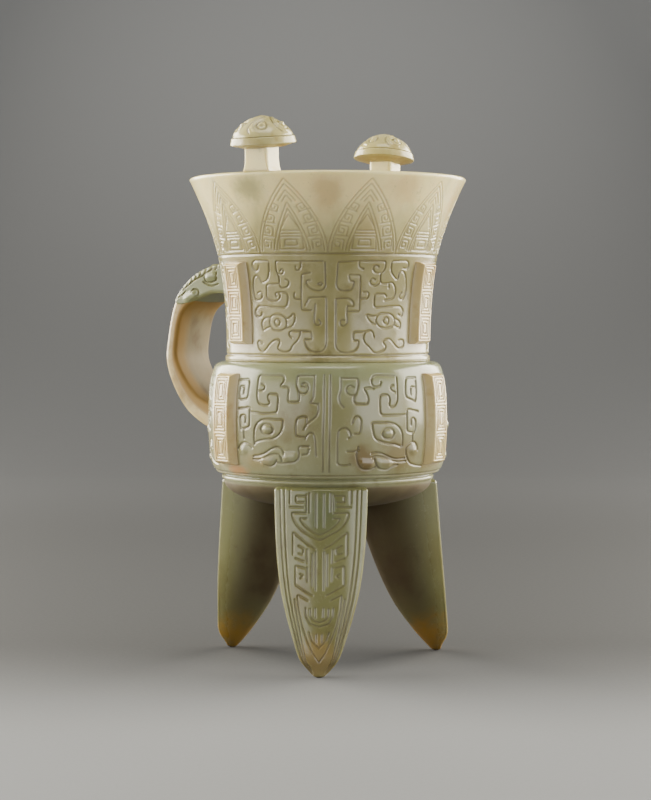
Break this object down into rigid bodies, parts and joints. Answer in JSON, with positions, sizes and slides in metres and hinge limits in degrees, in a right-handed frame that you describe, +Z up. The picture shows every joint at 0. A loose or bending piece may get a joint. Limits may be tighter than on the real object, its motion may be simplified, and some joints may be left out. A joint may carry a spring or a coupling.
{
  "type": "three-legged ritual wine vessel",
  "caption": "Jade tripod wine vessel with a flared neck, drum belly, strap handle under an animal head, capped posts on the rim and upright flanges.",
  "frame": {"origin": "middle of the footprint of the whole vessel, on the plane under the feet", "axes": "+Z up from the feet to the rim; the handle points to -X, the two posts stand on the rim at -Y and +Y"},
  "size_m": [0.104, 0.1024, 0.1776],
  "materials": {
    "cream_jade": "polished cream nephrite with ochre clouds",
    "celadon_jade": "polished grey-green nephrite",
    "olive_jade": "polished olive nephrite, brown towards the feet",
    "russet_jade": "polished cream nephrite stained russet",
    "cap_jade": "polished cream nephrite, ochre on the domes"
  },
  "bodies": {
    "root": {"back_leg": "olive_jade", "back_post": "cream_jade", "back_post_cap": "cap_jade", "belly": "celadon_jade", "belly_flange_back": "russet_jade", "belly_flange_front": "russet_jade", "belly_flange_right": "russet_jade", "front_leg": "olive_jade", "front_post": "cream_jade", "front_post_cap": "cap_jade", "handle": "russet_jade", "handle_head": "celadon_jade", "handle_leg": "olive_jade", "neck": "cream_jade", "neck_flange_back": "russet_jade", "neck_flange_front": "russet_jade", "neck_flange_right": "russet_jade"}
  },
  "joints": []
}
